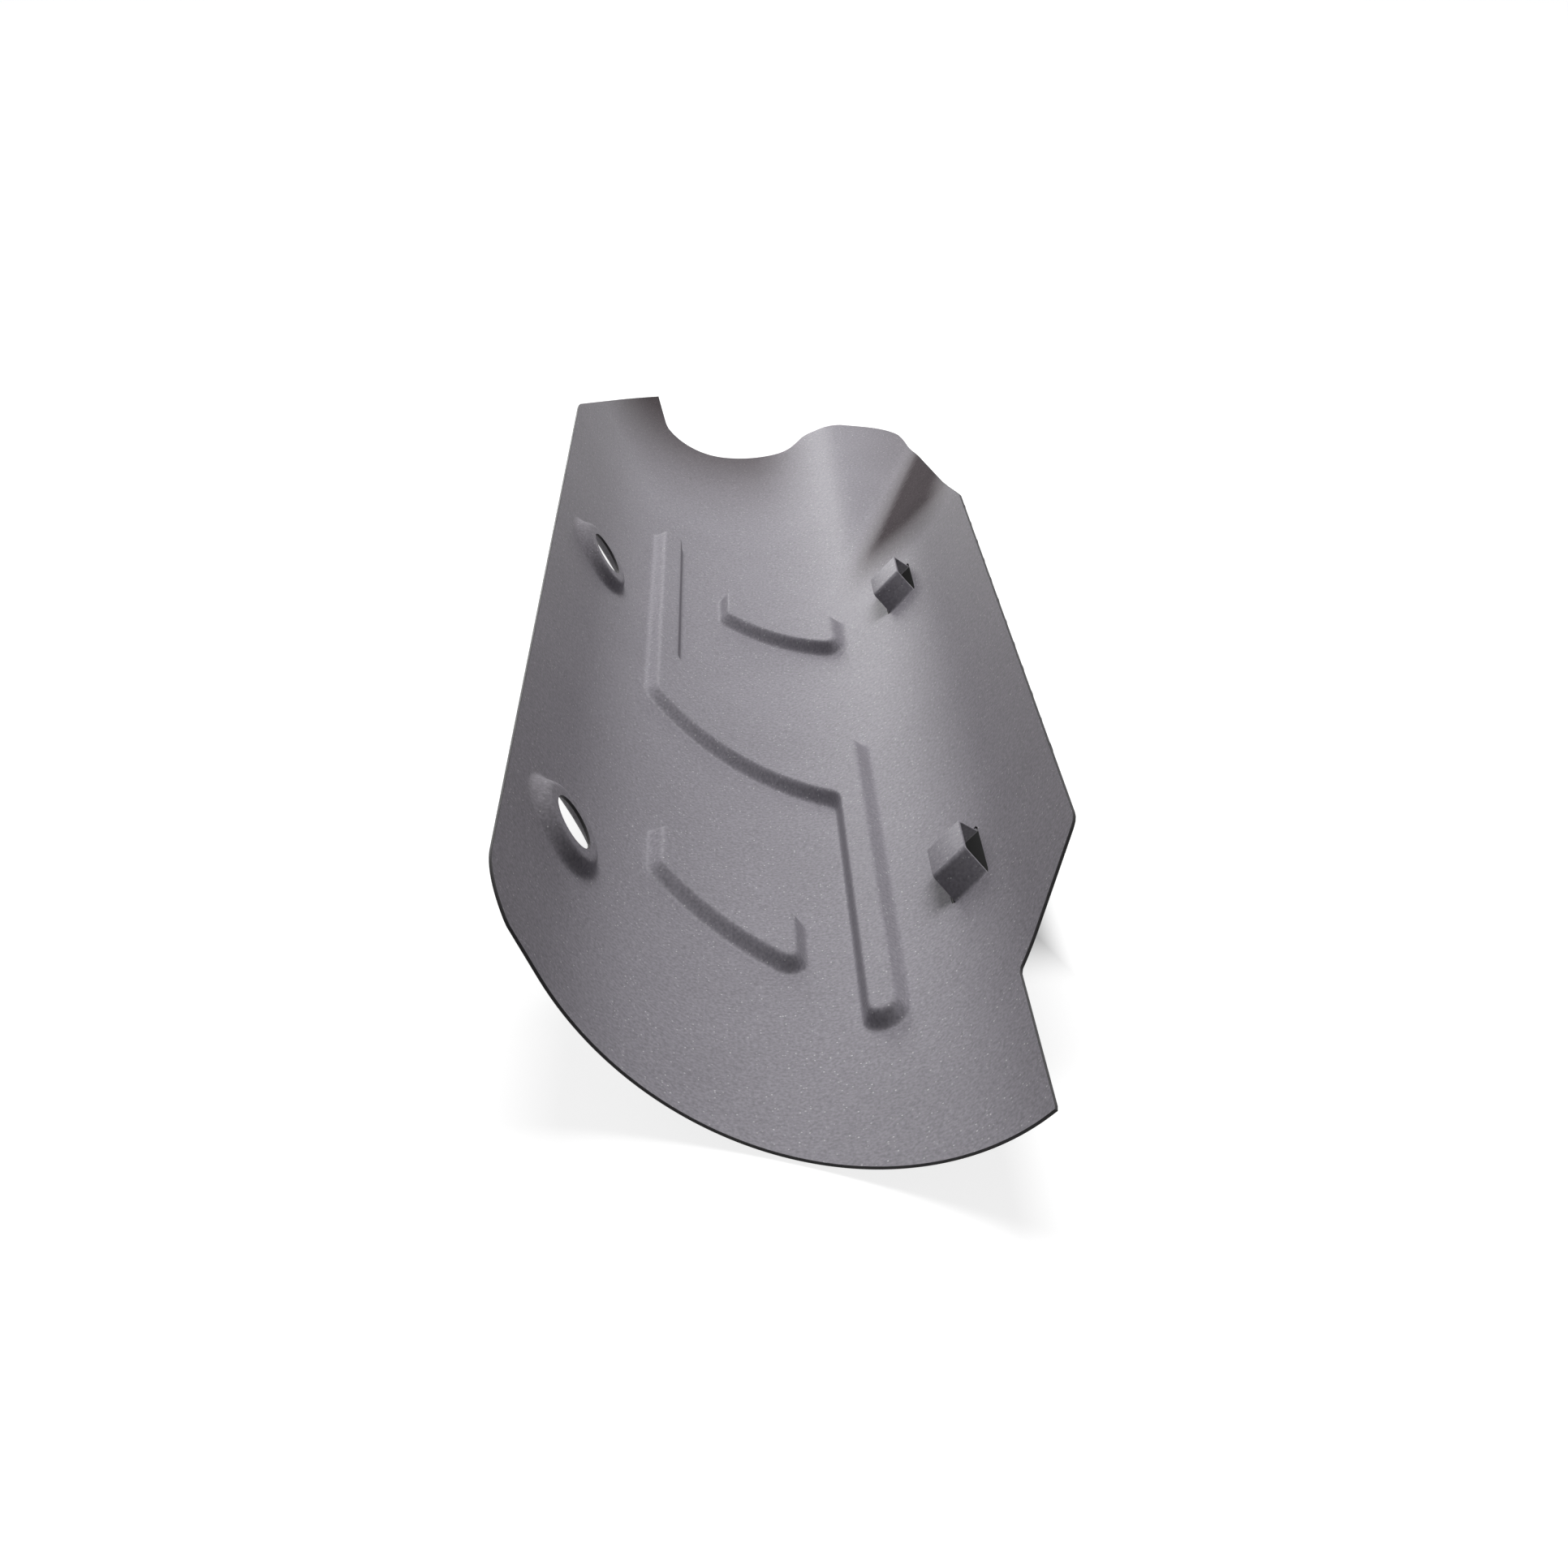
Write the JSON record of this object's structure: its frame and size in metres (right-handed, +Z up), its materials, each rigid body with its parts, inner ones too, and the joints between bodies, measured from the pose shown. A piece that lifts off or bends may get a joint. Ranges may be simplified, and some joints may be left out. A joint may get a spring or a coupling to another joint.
{
  "type": "exhaust pipe cover",
  "caption": "Pressed steel trough that shields an exhaust pipe, with conical bolt seats, a cranked stiffening rib, slanted pads and lifted straps.",
  "frame": {"origin": "centre of the bounding box in X and Y, at its lowest point, where the rounded back touches the ground", "axes": "+Y along the trough towards the notched end, +Z up out of the open side, +X towards the side with the straps"},
  "size_m": [0.0976, 0.423, 0.0383],
  "materials": {
    "coated_steel": "satin grey metallic heat-resistant coating"
  },
  "bodies": {
    "root": {"pipe_cover": "coated_steel"}
  },
  "joints": []
}
